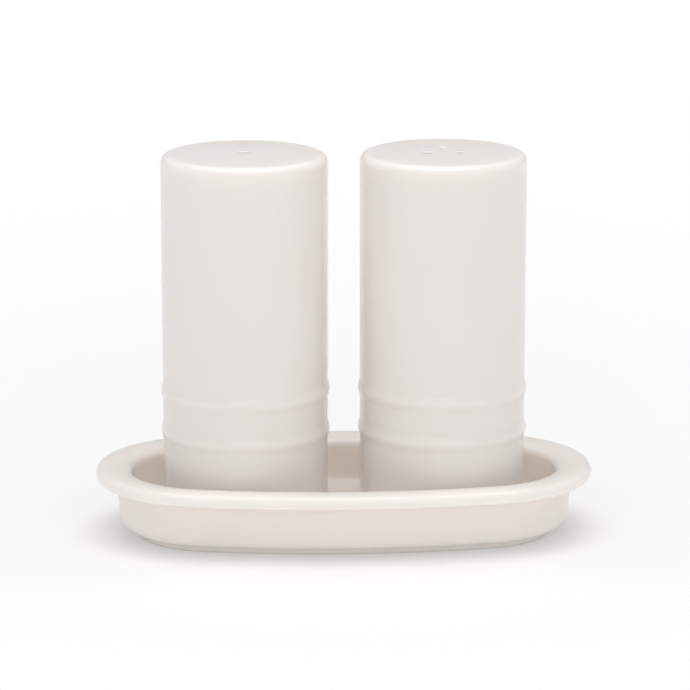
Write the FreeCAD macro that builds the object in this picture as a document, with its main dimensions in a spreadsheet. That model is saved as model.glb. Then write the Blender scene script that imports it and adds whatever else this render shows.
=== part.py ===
import FreeCAD, Part
import math
import os
import Sketcher

# A salt and pepper set in glazed porcelain: an oval tray with a rolled rim, and two tall
# round shakers that stand in it. Each shaker is hollow, has two raised rings near its base,
# and is filled through its underside, where a soft stopper closes the hole.
#
# Frame: millimetres, Z up, X along the tray. The origin is under the middle of the tray,
# on the surface that the tray stands on.

doc = FreeCAD.newDocument("salt_and_pepper_set")

# ------------------------------------------------------------------ driving dimensions
SIZES = [
    # tray plan: an oval of end, corner and side arcs, measured at the outside of the rim
    ("tray_length", 133.1),
    ("tray_width", 72.7),
    ("side_radius", 200.0),
    ("corner_radius", 31.4),
    ("end_radius", 160.0),
    # tray section: each inset is measured inwards from the outside of the rim
    ("tray_height", 18.5),
    ("rim_crown", 18.7),
    ("rim_nose", 1.8),
    ("rim_middle", 16.6),
    ("rim_inner_edge", 1.3),
    ("wall_inset", 5.6),
    ("wall_low_inset", 6.4),
    ("wall_bottom_radius", 4.5),
    ("well_inset", 9.7),
    ("well_floor", 7.2),
    ("well_radius", 1.3),
    ("foot_inset", 11.1),
    ("foot_rise", 1.9),
    ("foot_ring_width", 3.2),
    ("foot_hollow", 3.2),
    ("foot_edge", 0.4),
    # shaker outside
    ("shaker_spacing", 52.7),
    ("shaker_height", 96.2),
    ("base_radius", 22.0),
    ("top_radius", 22.15),
    ("top_crown", 0.5),
    ("top_edge_radius", 2.2),
    ("bead_tall", 4.3),
    ("bead_proud", 0.5),
    ("lower_bead", 21.4),
    ("upper_bead", 32.3),
    # shaker inside and underside
    ("wall_thick", 3.0),
    ("roof_thick", 3.2),
    ("cavity_radius", 4.0),
    ("recess_radius", 18.2),
    ("recess_deep", 7.5),
    ("recess_corner", 1.5),
    ("base_plate", 3.0),
    ("filling_radius", 9.0),
    ("standing_edge", 1.0),
    ("soft_edge", 0.4),
    # pouring holes
    ("pouring_radius", 1.1),
    ("pouring_lip", 0.5),
    ("pepper_ring", 4.9),
    # stopper
    ("plug_clearance", 0.05),
    ("plug_tall", 3.6),
    ("plug_wall", 1.6),
    ("flange_radius", 11.2),
    ("flange_thick", 1.2),
    ("grip_radius", 5.0),
    ("grip_wide", 2.4),
    ("grip_end_radius", 1.6),
    ("grip_tall", 1.3),
]

sheet = doc.addObject("Spreadsheet::Sheet", "Sizes")
for row, (alias, value) in enumerate(SIZES, start=1):
    sheet.set(f"A{row}", alias)
    sheet.set(f"B{row}", str(value))
    sheet.setAlias(f"B{row}", alias)
doc.recompute()


aliases = {alias for alias, _ in SIZES}


def bound(formula):
    """A formula of size names, with each name pointed at its cell in the sheet."""
    words = formula.split()
    return " ".join(f"Sizes.{word}" if word in aliases else word for word in words)


def number(formula):
    """The value of a formula of size names, in millimetres."""
    return float(sheet.evalExpression(bound(formula)))


# ------------------------------------------------------------------------ sketch tools
def sketch_on(body, name, role, height="0"):
    """An empty sketch on one of the body's origin planes, raised by a bound height."""
    planes = {feature.Role: feature for feature in body.Origin.OriginFeatures}
    sketch = body.newObject("Sketcher::SketchObject", name)
    sketch.AttachmentSupport = [(planes[role], "")]
    sketch.MapMode = "FlatFace"
    sketch.setExpression("AttachmentOffset.Base.z", bound(height))
    return sketch


def dimension(sketch, kind, references, formula):
    """A dimension of the sketch that follows a formula of the sheet."""
    index = sketch.addConstraint(Sketcher.Constraint(kind, *references, number(formula)))
    sketch.setExpression(f"Constraints[{index}]", bound(formula))


def pin(sketch, edge, point, x, y):
    """Dimension one point of an edge from the sketch's origin; "0" puts it on an axis."""
    for kind, axis, formula in (("DistanceX", -2, x), ("DistanceY", -1, y)):
        if formula == "0":
            sketch.addConstraint(Sketcher.Constraint("PointOnObject", edge, point, axis))
        else:
            dimension(sketch, kind, (-1, 1, edge, point), formula)


def arc_between(start, end, radius):
    """The arc of a radius, at most a half turn, that runs counter-clockwise between two
    points."""
    chord = end - start
    rise = math.sqrt(radius ** 2 - (chord.Length / 2) ** 2)
    inward = FreeCAD.Vector(-chord.y, chord.x, 0).normalize()
    centre = (start + end) / 2 + inward * rise
    angles = [math.atan2(p.y - centre.y, p.x - centre.x) for p in (start, end)]
    return Part.ArcOfCircle(Part.Circle(centre, FreeCAD.Vector(0, 0, 1), radius), *angles)


def outline(sketch, corners):
    """A closed outline, drawn counter-clockwise. A corner is (x, y), or (x, y, radius) where
    an arc bulges outwards to the next corner, or (x, y, radius, "hollow") where it bulges
    inwards. A hollow arc's own start is the outline's next corner."""
    points = [FreeCAD.Vector(number(c[0]), number(c[1]), 0) for c in corners]
    ends = []
    for index, corner in enumerate(corners):
        start = points[index]
        end = points[(index + 1) % len(points)]
        hollow = corner[-1] == "hollow"
        if len(corner) == 2:
            sketch.addGeometry(Part.LineSegment(start, end))
        elif hollow:
            sketch.addGeometry(arc_between(end, start, number(corner[2])))
        else:
            sketch.addGeometry(arc_between(start, end, number(corner[2])))
        ends.append((2, 1) if hollow else (1, 2))
    for index in range(len(corners)):
        after = (index + 1) % len(corners)
        joint = (index, ends[index][1], after, ends[after][0])
        sketch.addConstraint(Sketcher.Constraint("Coincident", *joint))
    for index, corner in enumerate(corners):
        pin(sketch, index, ends[index][0], corner[0], corner[1])
        if len(corner) > 2:
            dimension(sketch, "Radius", (index,), corner[2])


def circle(sketch, radius, x="0", y="0"):
    """A circle of bound radius and centre."""
    centre = FreeCAD.Vector(number(x), number(y), 0)
    edge = sketch.addGeometry(Part.Circle(centre, FreeCAD.Vector(0, 0, 1), number(radius)))
    pin(sketch, edge, 3, x, y)
    dimension(sketch, "Radius", (edge,), radius)


def oval(sketch, inset):
    """The tray's plan moved inwards by an inset: end, corner and side arcs, all tangent."""
    end_radius = number(f"end_radius - {inset}")
    side_radius = number(f"side_radius - {inset}")
    corner_radius = number(f"corner_radius - {inset}")
    end_centre = number("tray_length / 2 - end_radius")
    side_centre = number("tray_width / 2 - side_radius")
    # The corner arc touches both others inside, which fixes its centre by two distances.
    to_end = end_radius - corner_radius
    to_side = side_radius - corner_radius
    apart = math.hypot(end_centre, side_centre)
    along = (to_end ** 2 - to_side ** 2 + apart ** 2) / (2 * apart)
    across = math.sqrt(to_end ** 2 - along ** 2)
    forward = FreeCAD.Vector(-end_centre, side_centre, 0) / apart
    corner = FreeCAD.Vector(end_centre, 0, 0) + forward * along
    corner += FreeCAD.Vector(-forward.y, forward.x, 0) * across
    end_angle = math.atan2(corner.y, corner.x - end_centre)
    side_angle = math.atan2(corner.y - side_centre, corner.x)
    half, full = math.pi, 2 * math.pi
    arcs = [
        (end_centre, 0, end_radius, -end_angle, end_angle),
        (corner.x, corner.y, corner_radius, end_angle, side_angle),
        (0, side_centre, side_radius, side_angle, half - side_angle),
        (-corner.x, corner.y, corner_radius, half - side_angle, half - end_angle),
        (-end_centre, 0, end_radius, half - end_angle, half + end_angle),
        (-corner.x, -corner.y, corner_radius, half + end_angle, half + side_angle),
        (0, -side_centre, side_radius, half + side_angle, full - side_angle),
        (corner.x, -corner.y, corner_radius, full - side_angle, full - end_angle),
    ]
    for x, y, radius, start, end in arcs:
        ring = Part.Circle(FreeCAD.Vector(x, y, 0), FreeCAD.Vector(0, 0, 1), radius)
        sketch.addGeometry(Part.ArcOfCircle(ring, start, end))
    for index in range(len(arcs)):
        after = (index + 1) % len(arcs)
        sketch.addConstraint(Sketcher.Constraint("Tangent", index, 2, after, 1))
    for edge, x, y, radius in (
        (0, "tray_length / 2 - end_radius", "0", "end_radius"),
        (2, "0", "tray_width / 2 - side_radius", "side_radius"),
        (4, "end_radius - tray_length / 2", "0", "end_radius"),
        (6, "0", "side_radius - tray_width / 2", "side_radius"),
    ):
        pin(sketch, edge, 3, x, y)
        dimension(sketch, "Radius", (edge,), f"{radius} - {inset}")
    for edge in (1, 3, 5, 7):
        dimension(sketch, "Radius", (edge,), f"corner_radius - {inset}")


# ----------------------------------------------------------------------- feature tools
def new_body(label):
    body = doc.addObject("PartDesign::Body", label)
    body.Label = label
    return body


def extrude(body, kind, name, sketch, length, upward):
    """A Pad or a Pocket of bound length, along +Z if upward, which is against a Pocket's
    own direction."""
    feature = body.newObject(f"PartDesign::{kind}", name)
    feature.Profile = sketch
    feature.Reversed = upward == (kind == "Pocket")
    feature.setExpression("Length", bound(length))
    return feature


def turn(body, kind, name, sketch):
    """A Revolution or a Groove, a full turn about the sketch's upright axis."""
    feature = body.newObject(f"PartDesign::{kind}", name)
    feature.Profile = sketch
    feature.ReferenceAxis = (sketch, ["V_Axis"])
    feature.Angle = 360
    return feature


def soften(body, name, feature, places, radius):
    """Round the edges of a feature that lie nearest to the given places. An edge that
    runs on smoothly into others takes them along."""
    doc.recompute()
    edges = feature.Shape.Edges
    names = []
    for place in places:
        vertex = Part.Vertex(FreeCAD.Vector(*[number(formula) for formula in place]))
        gaps = [edge.distToShape(vertex)[0] for edge in edges]
        names.append(f"Edge{gaps.index(min(gaps)) + 1}")
    fillet = body.newObject("PartDesign::Fillet", name)
    fillet.Base = (feature, names)
    fillet.setExpression("Radius", bound(radius))
    doc.recompute()
    return fillet


# -------------------------------------------------------------------------------- tray
def tray_section(sketch):
    """The tray's section at its +X end: foot ring, wall with a rounded bottom corner, and a
    rolled rim of three tangent arcs, flatter above and below than at its nose."""
    # The crown's arc touches the nose's arc inside. The arc under the rim mirrors it.
    crown_drop = "( rim_middle - ( tray_height - rim_crown ) )"
    between = "( rim_crown - rim_nose )"
    crown_run = f"sqrt( {between} ^ 2 - {crown_drop} ^ 2 )"
    crown_inset = f"( rim_nose + {crown_run} )"
    meet_inset = f"( rim_nose - {crown_run} * rim_nose / {between} )"
    meet_rise = f"( {crown_drop} * rim_nose / {between} )"

    def crown_rise(inset):
        return f"( sqrt( rim_crown ^ 2 - ( {inset} - {crown_inset} ) ^ 2 ) - {crown_drop} )"

    def outwards(inset):
        return f"tray_length / 2 - ( {inset} )"

    foot_inner = "foot_inset + foot_ring_width"
    wall_bottom = "foot_rise + wall_bottom_radius"
    outline(sketch, [
        (outwards(foot_inner), "0"),
        (outwards("foot_inset"), "0"),
        (outwards("foot_inset"), "foot_rise"),
        (outwards("wall_low_inset + wall_bottom_radius"), "foot_rise", "wall_bottom_radius"),
        (outwards("wall_low_inset"), wall_bottom),
        (outwards("wall_inset"), f"rim_middle - {crown_rise('wall_inset')}", "rim_crown"),
        (outwards(meet_inset), f"rim_middle - {meet_rise}", "rim_nose"),
        (outwards(meet_inset), f"rim_middle + {meet_rise}", "rim_crown"),
        (outwards("well_inset"), f"rim_middle + {crown_rise('well_inset')}"),
        (outwards("well_inset"), "well_floor + well_radius", "well_radius", "hollow"),
        (outwards("well_inset + well_radius"), "well_floor"),
        (outwards(foot_inner), "well_floor"),
    ])


def make_tray():
    body = new_body("tray")
    path = sketch_on(body, "rim_path", "XY_Plane")
    oval(path, "0")
    section = sketch_on(body, "section", "XZ_Plane")
    tray_section(section)
    wall = body.newObject("PartDesign::AdditivePipe", "wall_and_rim")
    wall.Profile = section
    wall.Spine = (path, [])
    doc.recompute()

    floor_plan = sketch_on(body, "floor_plan", "XY_Plane", "foot_hollow")
    oval(floor_plan, "( foot_inset + foot_ring_width )")
    floor = extrude(body, "Pad", "floor", floor_plan, "well_floor - foot_hollow", True)

    rim_inside = ("0", "tray_width / 2 - well_inset", "rim_middle + rim_inner_edge")
    floor = soften(body, "rim_inside", floor, [rim_inside], "rim_inner_edge")
    foot_edges = [
        ("0", "tray_width / 2 - foot_inset", "0"),
        ("0", "tray_width / 2 - foot_inset - foot_ring_width", "0"),
    ]
    soften(body, "foot_edges", floor, foot_edges, "foot_edge")
    return body


# ----------------------------------------------------------------------------- shakers
def wall_radius(height):
    """The outside radius at a height: it widens evenly from the base to the top."""
    return f"base_radius + ( top_radius - base_radius ) * ( {height} ) / shaker_height"


def shaker_outline(sketch):
    """Half the outside shape: base, two raised rings, slightly flared wall, crowned top."""
    bead_arc = "( bead_tall ^ 2 / 4 + bead_proud ^ 2 ) / ( 2 * bead_proud )"
    crown_arc = "( top_radius ^ 2 + top_crown ^ 2 ) / ( 2 * top_crown )"
    corners = [("0", "0"), ("base_radius", "0")]
    for bead in ("lower_bead", "upper_bead"):
        below = f"{bead} - bead_tall / 2"
        above = f"{bead} + bead_tall / 2"
        corners.append((wall_radius(below), below, bead_arc))
        corners.append((wall_radius(above), above))
    corners.append(("top_radius", "shaker_height - top_crown", crown_arc))
    corners.append(("0", "shaker_height"))
    outline(sketch, corners)


def make_shaker(label, side, holes):
    """A hollow shaker with its base on its own origin, side -1 or 1 of the tray's middle,
    and a number of pouring holes: one in the middle, or more of them on a ring."""
    body = new_body(label)

    profile = sketch_on(body, "profile", "XZ_Plane")
    shaker_outline(profile)
    outside = turn(body, "Revolution", "outside", profile)
    top_edge = ("0", "top_radius", "shaker_height - top_crown")
    soften(body, "top_edge", outside, [top_edge], "top_edge_radius")

    cavity_base = "recess_deep + base_plate"
    cavity_top = "shaker_height - roof_thick"
    cavity_wide = "base_radius - wall_thick"
    cavity_sketch = sketch_on(body, "cavity_outline", "XZ_Plane")
    outline(cavity_sketch, [
        ("0", cavity_base), (cavity_wide, cavity_base), (cavity_wide, cavity_top), ("0", cavity_top),
    ])
    cavity = turn(body, "Groove", "cavity", cavity_sketch)
    cavity_edges = [("0", cavity_wide, cavity_base), ("0", cavity_wide, cavity_top)]
    soften(body, "cavity_corners", cavity, cavity_edges, "cavity_radius")

    recess_plan = sketch_on(body, "recess_plan", "XY_Plane")
    circle(recess_plan, "recess_radius")
    recess = extrude(body, "Pocket", "recess", recess_plan, "recess_deep", True)
    recess_edge = ("0", "recess_radius", "recess_deep")
    recess = soften(body, "recess_corner", recess, [recess_edge], "recess_corner")
    standing_edges = [("0", "recess_radius", "0"), ("0", "base_radius", "0")]
    soften(body, "standing_edges", recess, standing_edges, "standing_edge")

    filling_plan = sketch_on(body, "filling_plan", "XY_Plane", "recess_deep / 2")
    circle(filling_plan, "filling_radius")
    filling = extrude(body, "Pocket", "filling_hole", filling_plan, cavity_base, True)
    filling_edges = [("0", "filling_radius", "recess_deep"), ("0", "filling_radius", cavity_base)]
    soften(body, "filling_edges", filling, filling_edges, "soft_edge")

    make_pouring_holes(body, holes)
    body.setExpression("Placement.Base.x", bound(f"{side} * shaker_spacing / 2"))
    body.setExpression("Placement.Base.z", bound("well_floor"))
    return body


def make_pouring_holes(body, holes):
    """Small holes through the top. The first one of a ring is at the back."""
    ring = "pepper_ring" if holes > 1 else "0"
    plan = sketch_on(body, "pouring_plan", "XY_Plane", "shaker_height - 2 * roof_thick")
    circle(plan, "pouring_radius", "0", ring)
    last = extrude(body, "Pocket", "pouring_hole", plan, "3 * roof_thick", True)
    if holes > 1:
        pattern = body.newObject("PartDesign::PolarPattern", "pouring_ring")
        pattern.Originals = [last]
        pattern.Axis = (plan, ["N_Axis"])
        pattern.Angle = 360
        pattern.Occurrences = holes
        body.Tip = pattern
        last = pattern
    # A place on each hole's rim, on the side away from the shaker's axis.
    reach = f"( {ring} + pouring_radius )"
    lips = []
    for index in range(holes):
        turned = math.radians(90 + index * 360 / holes)
        x, y = math.cos(turned), math.sin(turned)
        lips.append((f"{reach} * {x:.6f}", f"{reach} * {y:.6f}", "shaker_height"))
    soften(body, "pouring_lips", last, lips, "pouring_lip")


# ---------------------------------------------------------------------------- stoppers
def make_stopper(label, side):
    """A soft stopper with its flange against the shaker's base plate: a hollow plug above
    the flange, and a bar below it to pull it out by."""
    body = new_body(label)
    plug_radius = "filling_radius - plug_clearance"

    flange_plan = sketch_on(body, "flange_plan", "XY_Plane")
    circle(flange_plan, "flange_radius")
    flange = extrude(body, "Pad", "flange", flange_plan, "flange_thick", False)
    flange_edge = ("0", "flange_radius", "0 - flange_thick")
    soften(body, "flange_edge", flange, [flange_edge], "soft_edge")

    plug_plan = sketch_on(body, "plug_plan", "XY_Plane")
    circle(plug_plan, plug_radius)
    circle(plug_plan, f"{plug_radius} - plug_wall")
    plug = extrude(body, "Pad", "plug", plug_plan, "plug_tall", True)
    soften(body, "plug_edge", plug, [("0", plug_radius, "plug_tall")], "soft_edge")

    grip_plan = sketch_on(body, "grip_plan", "XY_Plane", "0 - flange_thick")
    across = "grip_wide / 2"
    outline(grip_plan, [
        ("0 - grip_radius", f"0 - {across}"), ("grip_radius", f"0 - {across}", "grip_end_radius"),
        ("grip_radius", across), ("0 - grip_radius", across, "grip_end_radius"),
    ])
    grip = extrude(body, "Pad", "grip", grip_plan, "grip_tall", False)
    grip_edge = ("0", across, "0 - flange_thick - grip_tall")
    soften(body, "grip_edge", grip, [grip_edge], "soft_edge")

    body.setExpression("Placement.Base.x", bound(f"{side} * shaker_spacing / 2"))
    body.setExpression("Placement.Base.z", bound("well_floor + recess_deep"))
    return body


# ------------------------------------------------------------------------- the assembly
SALT_SIDE, PEPPER_SIDE = -1, 1
SALT_HOLES, PEPPER_HOLES = 1, 3

sub_parts = [
    make_tray(),
    make_shaker("salt_shaker", SALT_SIDE, SALT_HOLES),
    make_shaker("pepper_shaker", PEPPER_SIDE, PEPPER_HOLES),
    make_stopper("salt_stopper", SALT_SIDE),
    make_stopper("pepper_stopper", PEPPER_SIDE),
]
doc.recompute()

for item in doc.Objects:
    if "Invalid" in item.State or "Error" in item.State:
        raise RuntimeError(f"{item.Label} did not compute: {item.State}")
for sub_part in sub_parts:
    if sub_part.Shape.isNull() or not sub_part.Shape.isValid():
        raise RuntimeError(f"{sub_part.Label} has no valid shape")

os.makedirs("parts", exist_ok=True)
for sub_part in sub_parts:
    sub_part.Shape.exportStep(f"parts/{sub_part.Label}.step")
    box = sub_part.Shape.optimalBoundingBox()
    print(
        f"{sub_part.Label}: {sub_part.Shape.Volume:.0f} mm3, {len(sub_part.Shape.Solids)} solid,"
        f" {box.XLength:.2f} x {box.YLength:.2f} x {box.ZLength:.2f} mm"
    )
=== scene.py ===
import math

import bmesh
import bpy
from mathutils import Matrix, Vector


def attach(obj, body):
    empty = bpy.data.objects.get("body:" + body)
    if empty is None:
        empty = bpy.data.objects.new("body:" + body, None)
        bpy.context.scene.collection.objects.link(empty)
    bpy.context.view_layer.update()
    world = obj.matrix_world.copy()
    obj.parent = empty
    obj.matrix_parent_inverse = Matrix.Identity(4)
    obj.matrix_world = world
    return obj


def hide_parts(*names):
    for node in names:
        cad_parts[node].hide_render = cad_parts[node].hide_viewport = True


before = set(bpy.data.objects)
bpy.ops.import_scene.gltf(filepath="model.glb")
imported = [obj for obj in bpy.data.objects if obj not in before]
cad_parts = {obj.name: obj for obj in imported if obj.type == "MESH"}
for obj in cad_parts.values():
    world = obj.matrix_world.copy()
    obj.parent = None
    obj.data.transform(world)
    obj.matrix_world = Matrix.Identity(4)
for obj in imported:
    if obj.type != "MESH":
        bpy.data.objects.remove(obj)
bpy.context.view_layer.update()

# A glazed porcelain salt and pepper set: two tall shakers with raised rings, standing in an
# oval tray with a rolled rim. The scene is in metres. The sizes below are in millimetres,
# and mesh_object() turns them into metres.
MM = 0.001

# ------------------------------------------------------------------ sizes (millimetres)
TRAY = {
    # the plan: its overall size, and the radii of its sides, corners and ends
    "length": 133.1, "width": 72.7, "side": 200.0, "corner": 31.4, "end": 160.0,
    # the rim: top height, radius of its crown, radius and height of its nose, inner edge
    "height": 18.5, "crown": 18.7, "nose": 1.8, "rim_middle": 16.6, "rim_inner_edge": 2.0,
    # the wall: how far in it stands at the rim and at the bottom, and its radii there
    "wall_inset": 5.6, "wall_low": 6.4, "wall_root": 0.5, "wall_bottom": 4.5,
    # the well: how far in it starts, its floor's height, the radius where side and floor
    # meet, and how far the section runs on along the floor
    "well_inset": 9.7, "floor": 7.2, "well_radius": 1.3, "well_run": 5.0,
    # the foot: how far in it stands, how tall and wide its ring is, and its radii
    "foot_inset": 11.1, "foot_rise": 1.9, "foot_ring": 3.2, "foot_root": 0.25, "foot_edge": 0.5,
    # the hollow inside the foot: how deep it is, its radius, and how far the section runs on
    "foot_hollow": 3.2, "hollow_radius": 0.8, "hollow_run": 4.0,
}
SHAKER = {
    # outside: base and top are radii, and the last two are heights on the plain wall
    "height": 96.2, "base": 22.0, "top": 22.15, "top_crown": 0.5, "edge": 2.2,
    "below_rings": 12.0, "above_rings": 60.0,
    # the two raised rings: reach is a share of their height, either side of their middle
    "beads": (21.4, 32.3), "bead_tall": 4.3, "bead_proud": 0.5, "bead_reach": 0.62,
    # inside: wall and roof thickness, and the radius of the cavity's corners
    "wall": 3.0, "roof": 3.2, "cavity": 4.0,
    # underside: the recess, the plate above it and the filling hole through the plate
    "recess": 18.2, "recess_deep": 7.5, "recess_corner": 1.5, "plate": 3.0,
    "filling": 9.0, "standing": 1.0, "soft": 0.4,
    # pouring holes: their radius, the rounding of their lip and the ring they lie on
    "hole": 1.1, "lip": 0.55, "hole_ring": 4.9,
}
STOPPER = {
    # plug and flange are radii, and thick is the flange's thickness
    "plug": 8.95, "plug_tall": 3.6, "plug_wall": 1.6, "flange": 11.2, "thick": 1.2,
    "soft": 0.4, "flange_edge": 0.15, "plug_root": 0.1, "hollow_edge": 0.3,
    # the grip under the flange: grip is half its length
    "grip": 5.0, "grip_wide": 2.4, "grip_tall": 1.3, "grip_soft": 0.4, "grip_sunk": 0.02,
}
AXIS_X = 26.35  # how far each shaker's axis is from the middle of the tray
SAME_POINT = 0.0001  # points nearer to each other than this become one

# -------------------------------------------------------- how finely curves are divided
CROWN_STEPS = 24
BEAD_STEPS = 32
LIP_STEPS = 8
GRIP_STEPS = 5
OVAL_STEPS = (10, 14, 16)  # a quarter of the plan: its end, corner and side arcs
RIM_STEPS = (18, 12, 12)  # the rim's section: above, at the nose and below
FILL_STEPS = 8  # from the tray's section in to the middle, for the floor and the hollow


# ------------------------------------------------------------------------ outline tools
def rounded(corners, closed=False, step=math.radians(7.5)):
    """Points along straight runs between (x, y, radius) corners, each corner rounded by the
    arc of its radius that is tangent to both runs."""
    points = []
    count = len(corners)
    for index, (x, y, radius) in enumerate(corners):
        here = Vector((x, y))
        if radius == 0 or (not closed and index in (0, count - 1)):
            points.append(here)
            continue
        back = (Vector(corners[index - 1][:2]) - here).normalized()
        ahead = (Vector(corners[(index + 1) % count][:2]) - here).normalized()
        opening = back.angle(ahead)
        reach = radius / math.tan(opening / 2)
        centre = here + (back + ahead).normalized() * (radius / math.sin(opening / 2))
        start = here + back * reach - centre
        sweep = math.pi - opening
        sense = 1 if start.cross(here + ahead * reach - centre) > 0 else -1
        steps = max(2, math.ceil(sweep / step))
        for i in range(steps + 1):
            angle = sense * sweep * i / steps
            turned = Vector((
                start.x * math.cos(angle) - start.y * math.sin(angle),
                start.x * math.sin(angle) + start.y * math.cos(angle),
            ))
            points.append(centre + turned)
    return points


def arc(centre, radius, start, end, steps):
    """Points of an arc about a centre, from one angle to another, in degrees."""
    points = []
    for i in range(steps + 1):
        angle = math.radians(start + (end - start) * i / steps)
        across = radius * math.cos(angle)
        up = radius * math.sin(angle)
        points.append(Vector((centre[0] + across, centre[1] + up)))
    return points


def divided(points, longest):
    """The same open outline with its long runs divided evenly."""
    result = [points[0]]
    for start, end in zip(points, points[1:]):
        pieces = max(1, math.ceil((end - start).length / longest))
        result += [start.lerp(end, i / pieces) for i in range(1, pieces + 1)]
    return result


# --------------------------------------------------------------------------- mesh tools
def mesh_object(name, vertices, faces, shift=(0, 0, 0)):
    """A smooth-shaded object from vertices in millimetres, moved by shift in millimetres."""
    mesh = bpy.data.meshes.new(name)
    placed = [[(v[k] + shift[k]) * MM for k in range(3)] for v in vertices]
    mesh.from_pydata(placed, [], faces)
    mesh.validate()
    work = bmesh.new()
    work.from_mesh(mesh)
    bmesh.ops.remove_doubles(work, verts=work.verts, dist=SAME_POINT * MM)
    bmesh.ops.recalc_face_normals(work, faces=work.faces)
    work.to_mesh(mesh)
    work.free()
    mesh.shade_smooth()
    piece = bpy.data.objects.new(name, mesh)
    bpy.context.collection.objects.link(piece)
    return piece


def rings(count, size):
    """Quads that join count rings of size vertices each, in order."""
    faces = []
    for ring in range(count - 1):
        for i in range(size):
            j = (i + 1) % size
            low, high = ring * size, (ring + 1) * size
            faces.append((low + i, low + j, high + j, high + i))
    return faces


def lathe(name, outline, shift, turns=160):
    """An outline of (radius, height) turned about the upright axis. A point on the axis
    closes the surface there."""
    vertices = []
    for point in outline:
        for i in range(turns):
            angle = 2 * math.pi * i / turns
            vertices.append((point.x * math.cos(angle), point.x * math.sin(angle), point.y))
    return mesh_object(name, vertices, rings(len(outline), turns), shift)


def cut(piece, cutter):
    """Takes the cutter's space out of the piece, and drops the cutter."""
    modifier = piece.modifiers.new("cut", "BOOLEAN")
    modifier.operation = "DIFFERENCE"
    modifier.solver = "EXACT"
    modifier.object = cutter
    evaluated = piece.evaluated_get(bpy.context.evaluated_depsgraph_get())
    mesh = bpy.data.meshes.new_from_object(evaluated)
    piece.modifiers.clear()
    piece.data = mesh
    bpy.data.objects.remove(cutter)


# --------------------------------------------------------------------------- the shakers
def shaker_outline(size):
    """Half a shaker's section, from the top's middle down the outside, under, and up the
    inside to the roof's middle."""
    height, base, top = size["height"], size["base"], size["top"]
    below_rings, above_rings = size["below_rings"], size["above_rings"]

    def wall(z):
        """The outside's radius at a height, away from the rings."""
        return base + (top - base) * z / height

    crown_radius = (top ** 2 + size["top_crown"] ** 2) / (2 * size["top_crown"])
    crown_reach = top - size["edge"] * 2
    crown = []
    for i in range(CROWN_STEPS + 1):
        radius = crown_reach * i / CROWN_STEPS
        rise = math.sqrt(crown_radius ** 2 - radius ** 2)
        crown.append(Vector((radius, height - crown_radius + rise)))
    edge = rounded([
        (*crown[-1], 0),
        (top, height - size["top_crown"], size["edge"]),
        (wall(above_rings), above_rings, 0),
    ], step=math.radians(5))
    outside = crown[:-1] + edge
    for bead in reversed(size["beads"]):
        outside += bead_outline(size, bead, wall)

    recess_top = size["recess_deep"]
    cavity_floor = recess_top + size["plate"]
    cavity_roof = height - size["roof"]
    under = rounded([
        (wall(below_rings), below_rings, 0),
        (base, 0, size["standing"]),
        (size["recess"], 0, size["standing"]),
        (size["recess"], recess_top, size["recess_corner"]),
        (size["filling"], recess_top, size["soft"]),
        (size["filling"], cavity_floor, size["soft"]),
        (base - size["wall"], cavity_floor, size["cavity"]),
        (base - size["wall"], cavity_roof, size["cavity"]),
        (0, cavity_roof, 0),
    ])
    return divided(outside + under, longest=2.5)


def bead_outline(size, bead, wall):
    """One raised ring: a swelling whose slope fades evenly into the wall at both edges."""
    reach = size["bead_tall"] * size["bead_reach"]
    points = []
    for i in range(BEAD_STEPS + 1):
        across = 1 - 2 * i / BEAD_STEPS
        z = bead + reach * across
        proud = size["bead_proud"] * math.cos(across * math.pi / 2) ** 2
        points.append(Vector((wall(z) + proud, z)))
    return points


def hole_cutter(size, spot):
    """The space of a pouring hole: a plain bore that flares into a rounded lip on top. It
    reaches past both faces of the roof, so that the hole goes right through."""
    top, bore, lip = size["height"], size["hole"], size["lip"]
    below = top - size["roof"] * 1.6
    above = top + 0.6
    outline = [Vector((0, below)), Vector((bore, below))]
    for i in range(LIP_STEPS + 1):
        angle = math.radians(80 * i / LIP_STEPS)
        flare = lip * (1 - math.cos(angle))
        outline.append(Vector((bore + flare, top - lip + lip * math.sin(angle))))
    outline.append(Vector((bore + lip * 2.2, above)))
    outline.append(Vector((0, above)))
    return lathe("cutter", outline, spot, turns=48)


def make_shaker(name, side, holes):
    """A hollow shaker with one pouring hole in the middle, or several on a ring."""
    size = SHAKER
    place = (side * AXIS_X, 0, TRAY["floor"])
    piece = lathe(name + "_glazed", shaker_outline(size), place)
    ring = size["hole_ring"] if holes > 1 else 0
    for index in range(holes):
        angle = math.radians(90 + 360 * index / holes)
        spot = (place[0] + ring * math.cos(angle), ring * math.sin(angle), place[2])
        cut(piece, hole_cutter(size, spot))
    piece.data.shade_smooth()
    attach(piece, name)
    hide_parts(name)
    return piece


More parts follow.
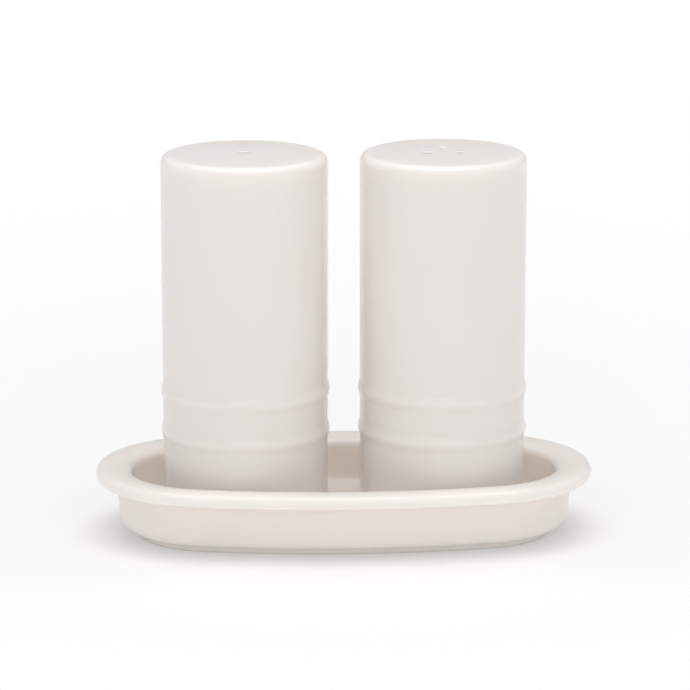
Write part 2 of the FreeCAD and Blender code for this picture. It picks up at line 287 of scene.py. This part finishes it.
# ------------------------------------------------------------------------------ the tray
def oval_rays(size, quarter):
    """Spokes of the tray's plan: (centre x, centre y, direction x, direction y, radius) all
    the way round. The plan moved inwards is the same spokes with shorter radii. quarter is
    the number of steps in each of the three arcs of a quarter."""
    end_centre = size["length"] / 2 - size["end"]
    side_centre = size["width"] / 2 - size["side"]
    to_end = size["end"] - size["corner"]
    to_side = size["side"] - size["corner"]
    apart = math.hypot(end_centre, side_centre)
    along = (to_end ** 2 - to_side ** 2 + apart ** 2) / (2 * apart)
    across = math.sqrt(to_end ** 2 - along ** 2)
    forward = Vector((-end_centre, side_centre)) / apart
    sideways = Vector((-forward.y, forward.x))
    corner = Vector((end_centre, 0)) + forward * along + sideways * across
    end_angle = math.atan2(corner.y, corner.x - end_centre)
    side_angle = math.atan2(corner.y - side_centre, corner.x)
    arcs = [
        (end_centre, 0, size["end"], 0, end_angle, quarter[0]),
        (corner.x, corner.y, size["corner"], end_angle, side_angle, quarter[1]),
        (0, side_centre, size["side"], side_angle, math.pi / 2, quarter[2]),
    ]
    first = []
    for x, y, radius, start, end, steps in arcs:
        for i in range(steps):
            angle = start + (end - start) * i / steps
            first.append((x, y, math.cos(angle), math.sin(angle), radius))
    middle = (0, side_centre, 0, 1, size["side"])
    second = [(-x, y, -dx, dy, r) for x, y, dx, dy, r in reversed(first)]
    half = first + [middle] + second[:-1]
    return half + [(-x, -y, -dx, -dy, r) for x, y, dx, dy, r in half]


def tray_section(size):
    """The tray's section as (inset, height), from the well's floor over the rim to the
    hollow under it. The rolled rim is three tangent arcs: a wide one above, a small one at
    the nose, and the wide one mirrored below."""
    nose, crown, middle = size["nose"], size["crown"], size["rim_middle"]
    drop = middle - (size["height"] - crown)
    run = math.sqrt((crown - nose) ** 2 - drop ** 2)
    crown_inset = nose + run
    lean = math.degrees(math.atan2(drop, -run))
    inner = math.degrees(math.acos((size["well_inset"] - crown_inset) / crown))
    wall = math.degrees(math.acos((size["wall_inset"] - crown_inset) / crown))
    over = arc((crown_inset, middle - drop), crown, inner, lean, RIM_STEPS[0])
    tip = arc((nose, middle), nose, lean, 360 - lean, RIM_STEPS[1])
    under = arc((crown_inset, middle + drop), crown, -lean, -wall, RIM_STEPS[2])

    # The rim's inner edge takes up the first points of the arc above, and the root of the
    # wall takes up the last points of the arc below.
    edge_end, root_start = 5, -3
    well = rounded([
        (size["well_inset"] + size["well_run"], size["floor"], 0),
        (size["well_inset"], size["floor"], size["well_radius"]),
        (size["well_inset"], over[0].y, size["rim_inner_edge"]),
        (*over[edge_end], 0),
    ])
    foot_inner = size["foot_inset"] + size["foot_ring"]
    base = rounded([
        (*under[root_start], 0),
        (size["wall_inset"], under[-1].y, size["wall_root"]),
        (size["wall_low"], size["foot_rise"], size["wall_bottom"]),
        (size["foot_inset"], size["foot_rise"], size["foot_root"]),
        (size["foot_inset"], 0, size["foot_edge"]),
        (foot_inner, 0, size["foot_edge"]),
        (foot_inner, size["foot_hollow"], size["hollow_radius"]),
        (foot_inner + size["hollow_run"], size["foot_hollow"], 0),
    ])
    return well + over[edge_end + 1:] + tip[1:] + under[1:root_start] + base


def make_tray():
    """The tray: its section carried round the oval plan, with the floor and the hollow
    under it filled in towards the middle."""
    size = TRAY
    rays = oval_rays(size, OVAL_STEPS)
    section = divided(tray_section(size), longest=1.5)
    loops = [(section[0], step / FILL_STEPS) for step in range(FILL_STEPS)]
    loops += [(point, 1) for point in section]
    loops += [(section[-1], step / FILL_STEPS) for step in reversed(range(FILL_STEPS))]
    vertices = []
    for point, share in loops:
        for x, y, dx, dy, radius in rays:
            reach = radius - point.x
            vertices.append(((x + dx * reach) * share, (y + dy * reach) * share, point.y))
    piece = mesh_object("tray_glazed", vertices, rings(len(loops), len(rays)))
    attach(piece, "tray")
    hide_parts("tray")
    return piece


# -------------------------------------------------------------------------- the stoppers
def make_stopper(name, side):
    """A soft stopper: flange against the shaker's base, hollow plug above, bar below."""
    size = STOPPER
    place = (side * AXIS_X, 0, TRAY["floor"] + SHAKER["recess_deep"])
    soft = size["soft"]
    hollow = size["plug"] - size["plug_wall"]
    outline = rounded([
        (0, -size["thick"], 0),
        (size["flange"], -size["thick"], soft),
        (size["flange"], 0, size["flange_edge"]),
        (size["plug"], 0, size["plug_root"]),
        (size["plug"], size["plug_tall"], soft),
        (hollow, size["plug_tall"], size["hollow_edge"]),
        (hollow, 0, soft),
        (0, 0, 0),
    ])
    piece = lathe(name + "_moulded", divided(outline, longest=1.2), place, turns=96)
    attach(piece, name)
    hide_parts(name)
    grip = make_grip(name, size, place)
    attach(grip, name)
    return [piece, grip]


def make_grip(name, size, place):
    """The bar under a stopper: a round-ended block with a rounded lower edge, its top sunk
    a little way into the flange."""
    half = size["grip_wide"] / 2
    end = half * 0.9
    plan = rounded([
        (-size["grip"], -half, end), (size["grip"], -half, end),
        (size["grip"], half, end), (-size["grip"], half, end),
    ], closed=True, step=math.radians(15))
    soft = size["grip_soft"]
    side_end = -size["grip_tall"] + soft
    levels = [(0, size["grip_sunk"]), (0, side_end)]
    for i in range(1, GRIP_STEPS + 1):
        angle = math.radians(90 / GRIP_STEPS * i)
        levels.append((soft * (1 - math.cos(angle)), side_end - soft * math.sin(angle)))
    vertices = []
    for inset, z in levels:
        scale_x = 1 - inset / size["grip"]
        scale_y = 1 - inset / half
        for point in plan:
            vertices.append((point.x * scale_x, point.y * scale_y, z - size["thick"]))
    last = (len(levels) - 1) * len(plan)
    faces = rings(len(levels), len(plan))
    faces.append(tuple(range(len(plan))))
    faces.append(tuple(range(last, last + len(plan))))
    return mesh_object(name + "_grip", vertices, faces, place)


# ------------------------------------------------------------------------- material tools
def new_material(name):
    """A new material, with its node tree and its shader."""
    material = bpy.data.materials.new(name)
    material.use_nodes = True
    tree = material.node_tree
    shader = next(node for node in tree.nodes if node.type == "BSDF_PRINCIPLED")
    return material, tree, shader


def node(tree, kind, **settings):
    """A node, with its sockets set by name and its properties by attribute."""
    made = tree.nodes.new(kind)
    for key, value in settings.items():
        if key in made.inputs:
            made.inputs[key].default_value = value
        else:
            setattr(made, key, value)
    return made


def noise(tree, where, scale, detail):
    """Noise over a piece's own coordinates, about scale swells to the metre."""
    made = node(tree, "ShaderNodeTexNoise", Scale=scale, Detail=detail, Roughness=0.5)
    tree.links.new(where.outputs["Object"], made.inputs["Vector"])
    return made.outputs["Fac"]


def mapped(tree, source, low, high, start=0.0, end=1.0):
    """A value turned from the range start to end into the range low to high."""
    made = tree.nodes.new("ShaderNodeMapRange")
    made.inputs["From Min"].default_value = start
    made.inputs["From Max"].default_value = end
    made.inputs["To Min"].default_value = low
    made.inputs["To Max"].default_value = high
    tree.links.new(source, made.inputs["Value"])
    return made.outputs["Result"]


def coloured(tree, shader, share, dark, light):
    """Makes the base colour run from dark to light as share goes from 0 to 1."""
    tint = node(tree, "ShaderNodeMix", data_type="RGBA")
    tint.inputs["A"].default_value = (*dark, 1)
    tint.inputs["B"].default_value = (*light, 1)
    tree.links.new(share, tint.inputs["Factor"])
    tree.links.new(tint.outputs["Result"], shader.inputs["Base Color"])


def bumped(tree, shader, height, strength, distance):
    """Makes the surface look raised where height is greater. The distance is in metres."""
    bump = node(tree, "ShaderNodeBump", Strength=strength, Distance=distance)
    tree.links.new(height, bump.inputs["Height"])
    tree.links.new(bump.outputs["Normal"], shader.inputs["Normal"])


# ---------------------------------------------------------------------------- materials
def porcelain(name, colour, shade):
    """White porcelain under a clear glaze: a faint cloudiness in the colour, a slow
    unevenness in the glaze, and its fine orange peel."""
    material, tree, shader = new_material(name)
    where = node(tree, "ShaderNodeTexCoord")
    cloud = noise(tree, where, 38.0, detail=3.0)
    coloured(tree, shader, mapped(tree, cloud, 0.0, 1.0, start=0.32, end=0.68), shade, colour)
    sheen = noise(tree, where, 90.0, detail=2.0)
    tree.links.new(mapped(tree, sheen, 0.17, 0.25), shader.inputs["Roughness"])
    slow = noise(tree, where, 60.0, detail=1.0)
    fine = noise(tree, where, 900.0, detail=1.0)
    peel = node(tree, "ShaderNodeMath", operation="MULTIPLY_ADD")
    tree.links.new(fine, peel.inputs[0])
    peel.inputs[1].default_value = 0.06
    tree.links.new(slow, peel.inputs[2])
    bumped(tree, shader, peel.outputs["Value"], strength=0.5, distance=0.00012)
    shader.inputs["IOR"].default_value = 1.5
    shader.inputs["Subsurface Weight"].default_value = 0.7
    shader.inputs["Subsurface Radius"].default_value = (0.0040, 0.0038, 0.0036)
    shader.inputs["Subsurface Scale"].default_value = 1.0
    return material


def bisque(name, colour):
    """Bare fired clay where a piece stands: matt and slightly rough, without glaze."""
    material, tree, shader = new_material(name)
    where = node(tree, "ShaderNodeTexCoord")
    cloud = noise(tree, where, 260.0, detail=4.0)
    coloured(tree, shader, cloud, [c * 0.9 for c in colour], colour)
    grain = noise(tree, where, 3200.0, detail=3.0)
    tree.links.new(mapped(tree, grain, 0.62, 0.85), shader.inputs["Roughness"])
    bumped(tree, shader, grain, strength=0.5, distance=0.0001)
    return material


def rubber(name, colour):
    """Soft moulded rubber: matt, with a fine spark-eroded grain."""
    material, tree, shader = new_material(name)
    where = node(tree, "ShaderNodeTexCoord")
    cloud = noise(tree, where, 120.0, detail=2.0)
    coloured(tree, shader, cloud, [c * 0.93 for c in colour], colour)
    grain = noise(tree, where, 4500.0, detail=2.0)
    tree.links.new(mapped(tree, grain, 0.5, 0.68), shader.inputs["Roughness"])
    bumped(tree, shader, grain, strength=0.35, distance=0.00008)
    return material


def bare_ring(piece, bottom, material):
    """Puts the bare material on the faces within half a millimetre of the piece's bottom."""
    piece.data.materials.append(material)
    for face in piece.data.polygons:
        if face.center.z < bottom + 0.5 * MM:
            face.material_index = 1


# --------------------------------------------------------------------------- the object
glaze = porcelain("glazed_porcelain", colour=(0.905, 0.850, 0.809), shade=(0.892, 0.835, 0.792))
bare_clay = bisque("bare_clay", (0.80, 0.755, 0.70))
stopper_rubber = rubber("stopper_rubber", (0.62, 0.61, 0.58))

porcelain_pieces = [
    make_tray(),
    make_shaker("salt_shaker", side=-1, holes=1),
    make_shaker("pepper_shaker", side=1, holes=3),
]
for piece in porcelain_pieces:
    piece.data.materials.clear()
    piece.data.materials.append(glaze)
    bare_ring(piece, min(v.co.z for v in piece.data.vertices), bare_clay)
for name, side in (("salt_stopper", -1), ("pepper_stopper", 1)):
    for piece in make_stopper(name, side):
        piece.data.materials.append(stopper_rubber)


# ------------------------------------------------------- floor, light, camera (in metres)
def make_floor(half):
    """A plain pale floor. It glows a little, and more so further from the set, so that it
    is white behind the set. The glow near the set is painted light: it lights the set from
    below and weakens its shadow on the floor."""
    mesh = bpy.data.meshes.new("floor")
    corners = [(-half, -half, 0), (half, -half, 0), (half, half, 0), (-half, half, 0)]
    mesh.from_pydata(corners, [], [(0, 1, 2, 3)])
    floor = bpy.data.objects.new("floor", mesh)
    bpy.context.collection.objects.link(floor)
    material, tree, shader = new_material("floor_white")
    shader.inputs["Base Color"].default_value = (0.76, 0.76, 0.755, 1)
    shader.inputs["Emission Color"].default_value = (1, 1, 0.995, 1)
    where = node(tree, "ShaderNodeTexCoord")
    away = node(tree, "ShaderNodeVectorMath", operation="LENGTH")
    tree.links.new(where.outputs["Object"], away.inputs[0])
    # painted light: the floor's glow, weaker near the set, where it lights the set from below
    # and lightens its shadow
    glow = mapped(tree, away.outputs["Value"], 0.20, 0.66, start=0.10, end=1.15)
    tree.links.new(glow, shader.inputs["Emission Strength"])
    shader.inputs["Roughness"].default_value = 0.9
    shader.inputs["Specular IOR Level"].default_value = 0.1
    mesh.materials.append(material)


def make_world():
    """A plain white studio, a little darker behind the set than in front of it."""
    world = bpy.data.worlds.new("studio")
    world.use_nodes = True
    tree = world.node_tree
    where = node(tree, "ShaderNodeTexCoord")
    split = node(tree, "ShaderNodeSeparateXYZ")
    tree.links.new(where.outputs["Generated"], split.inputs["Vector"])
    strength = mapped(tree, split.outputs["Y"], 0.48, 0.43, start=-1.0, end=1.0)
    background = tree.nodes["Background"]
    background.inputs["Color"].default_value = (0.985, 0.99, 1, 1)
    tree.links.new(strength, background.inputs["Strength"])
    bpy.context.scene.world = world


def aim(thing, place, target):
    """Puts a light or a camera at a place and points it at a target."""
    thing.location = place
    direction = Vector(target) - Vector(place)
    thing.rotation_euler = direction.to_track_quat("-Z", "Y").to_euler()


def area_light(name, place, target, wide, tall, watts):
    """A soft rectangular light that points at a target."""
    data = bpy.data.lights.new(name, "AREA")
    data.shape = "RECTANGLE"
    data.size = wide
    data.size_y = tall
    data.energy = watts
    light = bpy.data.objects.new(name, data)
    bpy.context.collection.objects.link(light)
    aim(light, place, target)


def make_camera(away, height, turned, target, lens):
    """A camera that stands away from the middle of the set, at a height above the floor,
    turned so many degrees to the left of straight ahead, and points at a target."""
    data = bpy.data.cameras.new("camera")
    data.sensor_width = 36.0
    data.lens = lens
    camera = bpy.data.objects.new("camera", data)
    bpy.context.collection.objects.link(camera)
    angle = math.radians(turned)
    aim(camera, (-away * math.sin(angle), -away * math.cos(angle), height), target)
    bpy.context.scene.camera = camera


make_floor(half=3.0)
make_world()
area_light("overhead", (0, -0.05, 0.95), (0, 0, 0.05), wide=1.0, tall=0.8, watts=6.0)
area_light("front", (0, -1.25, 0.55), (0, 0, 0.03), wide=1.0, tall=0.6, watts=2.2)
make_camera(away=1.037, height=0.2918, turned=2.45, target=(0.0003, 0, 0.0509), lens=208.0)
bpy.context.scene.view_settings.view_transform = "Standard"
